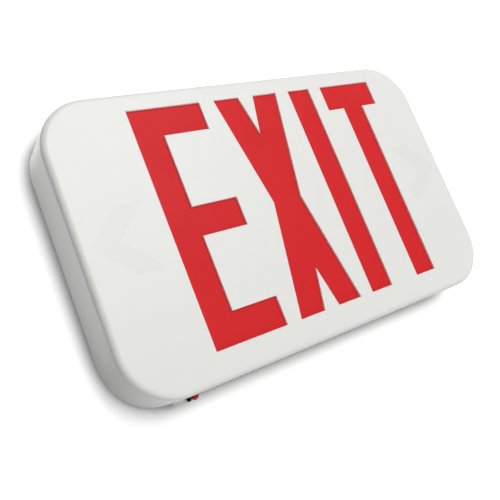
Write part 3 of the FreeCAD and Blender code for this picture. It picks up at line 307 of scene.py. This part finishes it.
def moulding(name, tone, rough=0.42, grain=0.00002):
    """Moulded ABS: a tone that drifts a little warmer, uneven dullness and a fine grain."""
    finish = Finish(name, Subsurface_Weight=0.3, Subsurface_Scale=0.0012, Subsurface_Radius=(1, 1, 1))
    drift = finish.noise(18, 3)
    fine = finish.noise(2600, 2, 0.6)
    dull = finish.noise(240, 3)
    warm = tuple(part * shade for part, shade in zip(tone, (0.985, 0.982, 0.970)))
    finish.paint(Base_Color=finish.blend(drift, tone, warm), Roughness=rough - 0.05 + dull * 0.1)
    finish.relief(fine, grain, 0.6)
    return finish.material


def levels(face):
    """How far forward a face reaches, and how far back."""
    heights = [corner.co.y for corner in face.verts]
    return min(heights), max(heights)


def dressed(node, materials, share, reshape=None, sharp=40):
    """A copy of a moulded node with its facets joined, its flats kept flat and its edges eased.

    share gives each sharp edge its share of the rounding, reshape may change the joined mesh, and an
    edge is sharp where its faces turn by sharp degrees or more.
    """
    source = frame["nodes"][node]
    mesh = bmesh.new()
    mesh.from_mesh(source.data)
    bmesh.ops.remove_doubles(mesh, verts=mesh.verts, dist=MERGE)
    bmesh.ops.dissolve_limit(mesh, angle_limit=math.radians(FLAT), use_dissolve_boundaries=False,
                             verts=mesh.verts, edges=mesh.edges)
    for face in mesh.faces:
        face.smooth = True
        face.material_index = 0
    if reshape:
        reshape(mesh)
    bmesh.ops.recalc_face_normals(mesh, faces=mesh.faces)
    eased = mesh.edges.layers.float.new("bevel_weight_edge")
    for edge in mesh.edges:
        edge.smooth = edge.is_manifold and edge.calc_face_angle(0) < math.radians(sharp)
        if not edge.smooth:
            edge[eased] = share(edge)
    piece = make(node.replace("_", "-"), mesh)
    for material in materials:
        piece.data.materials.append(material)
    ease = piece.modifiers.new("eased edges", "BEVEL")
    ease.width = EASE
    ease.segments = 2
    ease.profile = 0.5
    ease.limit_method = "WEIGHT"
    ease.use_clamp_overlap = False
    ease.harden_normals = True
    flat = piece.modifiers.new("flat faces", "WEIGHTED_NORMAL")
    flat.keep_sharp = True
    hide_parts(node)
    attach(piece, *body_of(source))
    return piece


cover_low, cover_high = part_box("front_cover")
FACE = cover_low[1]
LOWER_WALL = -cover_high[2]      # the walls are as far below the middle as above it; the lug hangs lower


def draft_webs(mesh):
    """Give the chevrons' floors the darker copy of the white that paints shade on the thin webs, and
    their low sides a slope.
    """
    for face in list(mesh.faces):
        low, high = levels(face)
        if high - low < LEVEL < low - FACE < WEB_SUNK:
            face.material_index = 1
            sides = bmesh.ops.inset_region(mesh, faces=[face], thickness=WEB_DRAFT,
                                           use_even_offset=True)["faces"]
            for rim in {corner for side in sides for corner in side.verts} - set(face.verts):
                rim.co.y = FACE
    bmesh.ops.remove_doubles(mesh, verts=mesh.verts, dist=MERGE)


def cover_share(edge):
    """Full rounding at the face and round the lug, none inside."""
    at_face = max(end.co.y for end in edge.verts) < FACE + LEVEL
    on_lug = max(end.co.z for end in edge.verts) < LOWER_WALL - LEVEL
    return 1 if at_face or on_lug else 0


white = moulding("warm_white_ABS", (0.86, 0.86, 0.835))
# painted shade: the thin chevron webs get a darker copy of the same white ABS
web_painted_shade = moulding("thin_web_ABS_painted_shade", (0.84, 0.84, 0.81))
dressed("front_cover", (white, web_painted_shade), cover_share, draft_webs)


# ---- Back plate and light tray ----------------------------------------------------------------------
# The back plate is a plainer moulding in the same ABS, left duller from the mould. The light tray is
# bright white and glossier, because it throws the lamps' light at the legend.

BACK = 0.0               # the plane that meets the wall


def plate_share(edge):
    """Full rounding round the outside and at every hole in the face that meets the wall."""
    return 1 if min(end.co.y for end in edge.verts) > BACK - LEVEL else 0


dressed("back_plate", (moulding("back_plate_ABS", (0.80, 0.80, 0.785), rough=0.5),),
        plate_share)


def finished(material, *nodes):
    """Give CAD nodes their finish."""
    for node in nodes:
        slots = frame["nodes"][node].data.materials
        slots.clear()
        slots.append(material)


finished(moulding("reflector_ABS", (0.88, 0.88, 0.88), rough=0.28, grain=0.000008), "light_tray")


# ---- Red panel --------------------------------------------------------------------------------------
# A sheet of red diffusing acrylic behind the stencil. Pigment and diffuser make it a plain even red
# with a satin face, a trace cloudy where the sheet is thicker.

acrylic = Finish("red_diffuser", Specular_IOR_Level=0.2)
cloud = acrylic.noise(40, 3)
acrylic.paint(Base_Color=acrylic.blend(cloud, (0.715, 0.012, 0.016), (0.675, 0.010, 0.014)),
              Roughness=0.5 + cloud * 0.1)
acrylic.relief(acrylic.noise(900, 2), 0.00001, 0.4)
finished(acrylic.material, "red_panel")


# ---- Lamp strips ------------------------------------------------------------------------------------
# Two narrow white boards stand on edge in the tray, each with a row of lamps. A lamp is a white resin
# box with a round well of yellow phosphor in its face and a tinned joint at each end.

LAMP_PITCH = 0.022
LAMP_HALF = 0.00175
LAMP_WELL = 0.0011
LAMP_JOINT = 0.0004


def axes(finish, wanted):
    """How far a point is along each axis in wanted."""
    return [finish.add("SeparateXYZ", None, {0: finish.place}, axis) for axis in wanted]


resin = Finish("lamp_resin_and_phosphor")
x, y = axes(resin, "XY")
row_low, row_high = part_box("lower_strip_lamps")
first = row_low[0] + LAMP_HALF
along = abs((x - first + LAMP_PITCH / 2) % LAMP_PITCH - LAMP_PITCH / 2)
apart = (along ** 2 + abs(y - (row_low[1] + row_high[1]) / 2) ** 2) ** 0.5
well = apart < LAMP_WELL
joint = along > LAMP_HALF - LAMP_JOINT
phosphor = resin.blend(resin.noise(3000), (0.82, 0.62, 0.10), (0.86, 0.70, 0.16))
case = resin.blend(well, (0.84, 0.84, 0.80), phosphor)
resin.paint(Base_Color=resin.blend(joint, case, (0.62, 0.62, 0.60)), Metallic=joint,
            Roughness=0.45 - 0.2 * well)
resin.relief(1 - well, 0.0002)
finished(resin.material, "upper_strip_lamps", "lower_strip_lamps")


PADS_ABOVE = 0.86        # a cell whose chance is higher has a pad


def circuit_board(name, mask, track, cell, wide, edge=(0.42, 0.40, 0.22)):
    """Solder mask over a maze of copper tracks, bare laminate at the edges and dots of tinned pad."""
    board = Finish(name)
    square = board.add("Mapping", None, {"Vector": board.place, "Scale": (1 / cell,) * 3})
    tile = board.add("VectorMath", {"operation": "FLOOR"}, {0: square})
    chance = board.add("TexWhiteNoise", None, {"Vector": tile}, "Value")
    across, up = [abs(part / cell % 1 - 0.5) for part in axes(board, "XZ")]
    flat = board.add("SeparateXYZ", None, {0: board.add("TexCoord", output="Normal")}, "Y")
    fronts = abs(flat) > 0.5
    crossing = chance > 0.5
    line = crossing * (across < wide) + (1 - crossing) * (up < wide)
    pad = ((across ** 2 + up ** 2) ** 0.5 < 2 * wide) * (chance > PADS_ABOVE)
    painted = board.blend(line > 0.5, mask, track)
    skin = board.blend(pad, painted, (0.66, 0.64, 0.60))
    board.paint(Base_Color=board.blend(fronts, edge, skin), Metallic=pad * fronts,
                Roughness=0.5 - 0.2 * fronts + 0.1 * board.noise(400))
    board.relief(line + pad, 0.00004)
    return board.material


finished(circuit_board("white_lamp_board", (0.80, 0.80, 0.78), (0.74, 0.74, 0.72), 0.004, 0.3,
                       edge=(0.70, 0.68, 0.60)), "upper_strip_board", "lower_strip_board")


# ---- Charger board and its parts --------------------------------------------------------------------
# A glass-epoxy board with green solder mask stands on bosses of the back plate and carries the
# transformer, capacitors, rectifier, regulator, fuse and supply terminal, all soldered through it.

finished(circuit_board("green_solder_mask", (0.010, 0.110, 0.045), (0.020, 0.170, 0.070), 0.0024, 0.14),
         "charger_board", "test_board")

LAMINATION = 0.0005
LEAF_GAP = 0.25          # share of a lamination that is the gap to the next

core = Finish("varnished_laminations")
(up,) = axes(core, "Z")
leaf = abs(up / LAMINATION % 1 - 0.5) * 2
rust = core.noise(700, 4)
core.paint(Base_Color=core.blend(rust, (0.20, 0.19, 0.18), (0.27, 0.20, 0.15)), Metallic=0.7,
           Roughness=0.35 + 0.25 * rust)
core.relief(leaf > LEAF_GAP, 0.00005)
finished(core.material, "transformer_core")

TAPE_WIDE = 0.0021

tape = Finish("yellow_winding_tape", Coat_Weight=0.3)
(deep,) = axes(tape, "Y")
lap = deep / TAPE_WIDE % 1
crease = tape.noise(500, 3)
tape.paint(Base_Color=tape.blend(crease, (0.76, 0.52, 0.06), (0.66, 0.43, 0.05)),
           Roughness=0.28 + 0.2 * crease)
tape.relief(lap * 0.6 + crease * 0.4, 0.00008)
finished(tape.material, "transformer_coil")


def moulded_case(name, first, second, rough, pits, depth, **surface):
    """A small moulding's finish: two near tones, blotched, over a fine pitted skin."""
    case = Finish(name, **surface)
    mottle = case.noise(pits / 4, 3)
    case.paint(Base_Color=case.blend(mottle, first, second), Roughness=rough + 0.12 * mottle)
    case.relief(case.noise(pits, 2), depth)
    return case.material


finished(moulded_case("film_capacitor_case", (0.62, 0.36, 0.03), (0.56, 0.31, 0.03), 0.3, 900, 0.00002),
         "film_capacitor")
finished(moulded_case("black_epoxy", (0.022, 0.022, 0.023), (0.032, 0.032, 0.033), 0.55, 3000, 0.00003),
         "bridge_rectifier", "line_fuse")

TAB_THICK = 0.0013

regulator = Finish("epoxy_on_metal_tab")
(deep,) = axes(regulator, "Y")
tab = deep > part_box("power_regulator")[1][1] - TAB_THICK
brushed = regulator.add("TexNoise", None, {"Vector": regulator.add("Mapping", None, {
    "Vector": regulator.place, "Scale": (1, 1, 20)}), "Scale": 900, "Detail": 2})
metal = regulator.blend(brushed, (0.62, 0.61, 0.59), (0.50, 0.49, 0.48))
regulator.paint(Base_Color=regulator.blend(tab, (0.026, 0.026, 0.027), metal), Metallic=tab,
                Roughness=0.55 - 0.25 * tab)
regulator.relief(regulator.noise(3000, 2), 0.00003)
finished(regulator.material, "power_regulator")

CAN_HALF = 0.004
LID_HALF = 0.0033
LID_SKIN = 0.0002        # the lid is what lies this near to the can's front
VENT_HALF = 0.0002       # half the width of the cross stamped in the lid
STRIPE_FROM = 0.8        # the stripe starts this far out, as a share of the can's half width

can = Finish("capacitor_sleeve_and_lid")
x, y, z = axes(can, "XYZ")
low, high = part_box("electrolytic_capacitors")
can_pitch = high[0] - low[0] - 2 * CAN_HALF
middle_z = (low[2] + high[2]) / 2
along = (x - low[0] - CAN_HALF + can_pitch / 2) % can_pitch - can_pitch / 2
across = z - middle_z
apart = (along ** 2 + across ** 2) ** 0.5
lid = (apart < LID_HALF) * (y < low[1] + LID_SKIN)
vent = ((abs(along) < VENT_HALF) + (abs(across) < VENT_HALF)) * lid > 0.5
stripe = (along > CAN_HALF * STRIPE_FROM) * (1 - lid)
navy = can.blend(can.noise(300), (0.012, 0.020, 0.060), (0.016, 0.026, 0.072))
wrap = can.blend(stripe, navy, (0.46, 0.50, 0.56))
can.paint(Base_Color=can.blend(lid, wrap, (0.66, 0.66, 0.66)), Metallic=lid,
          Roughness=0.32 + 0.1 * vent)
can.relief(1 - vent, 0.00015)
finished(can.material, "electrolytic_capacitors")

finished(moulded_case("terminal_nylon", (0.30, 0.33, 0.34), (0.26, 0.29, 0.30), 0.4, 1500, 0.00002),
         "supply_terminal")
finished(moulded_case("lever_nylon", (0.72, 0.16, 0.012), (0.66, 0.13, 0.010), 0.35, 1500, 0.00002),
         "terminal_levers")
finished(moulded_case("natural_nylon", (0.74, 0.71, 0.62), (0.70, 0.66, 0.56), 0.38, 1200, 0.00002,
                      Subsurface_Weight=0.1, Subsurface_Scale=0.001),
         "battery_socket", "upper_socket", "lower_socket", "test_socket",
         "battery_plug", "upper_plug", "lower_plug", "test_plug")


# ---- Battery pack -----------------------------------------------------------------------------------
# Three nickel cells lie side by side in a green shrink sleeve. The sleeve wrinkles towards its ends
# and leaves each cell's metal end bare in the middle.

CELL_HALF = 0.00525
BARE_HALF = 0.0035
END_SKIN = 0.0001        # an end face is what lies this near to the pack's end
CREEP = 8                # the higher, the closer the wrinkles keep to the ends

sleeve = Finish("green_shrink_sleeve", Coat_Weight=0.4, Coat_Roughness=0.2)
x, y, z = axes(sleeve, "XYZ")
low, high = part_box("battery_pack")
middle_y, middle_z = (low[1] + high[1]) / 2, (low[2] + high[2]) / 2
half_long = (high[2] - low[2]) / 2
along = (x - low[0]) % (2 * CELL_HALF) - CELL_HALF
apart = (along ** 2 + abs(y - middle_y) ** 2) ** 0.5
end_face = abs(z - middle_z) > half_long - END_SKIN
bare = end_face * (apart < BARE_HALF)
near_end = abs(z - middle_z) / half_long
wrinkle = sleeve.add("TexNoise", None, {"Vector": sleeve.add("Mapping", None, {
    "Vector": sleeve.place, "Scale": (1, 1, 0.25)}), "Scale": 900, "Detail": 3})
shade = sleeve.noise(150, 3)
film = sleeve.blend(shade, (0.020, 0.190, 0.070), (0.026, 0.235, 0.088))
sleeve.paint(Base_Color=sleeve.blend(bare, film, (0.64, 0.63, 0.60)), Metallic=bare,
             Roughness=0.34 + 0.1 * shade)
sleeve.relief(wrinkle * near_end ** CREEP, 0.0003)
finished(sleeve.material, "battery_pack")


# ---- Leads ------------------------------------------------------------------------------------------
# Flat leads of soft PVC wires, red and black in turn, with grooves between them. A pair runs from a
# plug on the charger board to each strip and to the battery, and a ribbon of four runs straight down
# to the test board.

GROOVE = 0.00025         # half the width of a groove


def flat_lead(name, lead, axis, wires=2):
    """Wires of one width side by side across the lead, black first."""
    flat = Finish(name)
    index = "XYZ".index(axis)
    low, high = (corner[index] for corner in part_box(lead))
    wire = (high - low) / wires
    across = (axes(flat, axis)[0] - low) / wire
    from_groove = abs((across + 0.5) % 1 - 0.5) * wire
    scuff = flat.noise(600, 3)
    red = flat.blend(scuff, (0.52, 0.016, 0.014), (0.46, 0.014, 0.012))
    black = flat.blend(scuff, (0.018, 0.018, 0.019), (0.028, 0.028, 0.029))
    flat.paint(Base_Color=flat.blend(across % 2 > 1, black, red), Roughness=0.38 + 0.15 * scuff)
    flat.relief(from_groove > GROOVE, 0.0003)
    finished(flat.material, lead)


flat_lead("pvc_pair_upper", "upper_strip_lead", "X")
flat_lead("pvc_pair_lower", "lower_strip_lead", "X")
flat_lead("pvc_pair_battery", "battery_lead", "Y")
flat_lead("pvc_ribbon_test", "test_lead", "X", wires=4)


# ---- Screws -----------------------------------------------------------------------------------------
# Six small pan-head self-tapping screws hold the tray and the boards to their bosses. They are zinc
# plated, with a faint blue haze.

zinc = Finish("zinc_plate", Metallic=1.0)
haze = zinc.noise(1500, 3)
zinc.paint(Base_Color=zinc.blend(haze, (0.60, 0.61, 0.62), (0.50, 0.52, 0.55)),
           Roughness=0.28 + 0.2 * haze)
zinc.relief(zinc.noise(6000, 2), 0.00001)
finished(zinc.material, "tray_screws", "board_screws", "test_board_screws")


# ---- Test button, its switch and the pilot lamp -----------------------------------------------------
# Under the housing a small black button presses a tactile switch on the test board, and beside it
# the domed red pilot lamp shows that the battery is charging. Its tinned legs pass through the board.

finished(moulded_case("switch_nylon", (0.020, 0.020, 0.021), (0.028, 0.028, 0.029), 0.45, 2500, 0.00002),
         "switch_body")
finished(moulded_case("button_nylon", (0.003, 0.003, 0.003), (0.006, 0.006, 0.006), 0.6, 2500, 0.00002,
                      Specular_IOR_Level=0.1), "test_button")
finished(moulded_case("red_lamp_epoxy", (0.46, 0.001, 0.003), (0.52, 0.002, 0.004), 0.2, 500, 0.00001,
                      Transmission_Weight=0.15, Specular_IOR_Level=0.2), "pilot_led")
tin = Finish("tinned_leg", Metallic=1.0)
haze = tin.noise(2500, 2)
tin.paint(Base_Color=tin.blend(haze, (0.70, 0.69, 0.66), (0.60, 0.59, 0.57)),
          Roughness=0.3 + 0.15 * haze)
finished(tin.material, "pilot_led_legs")
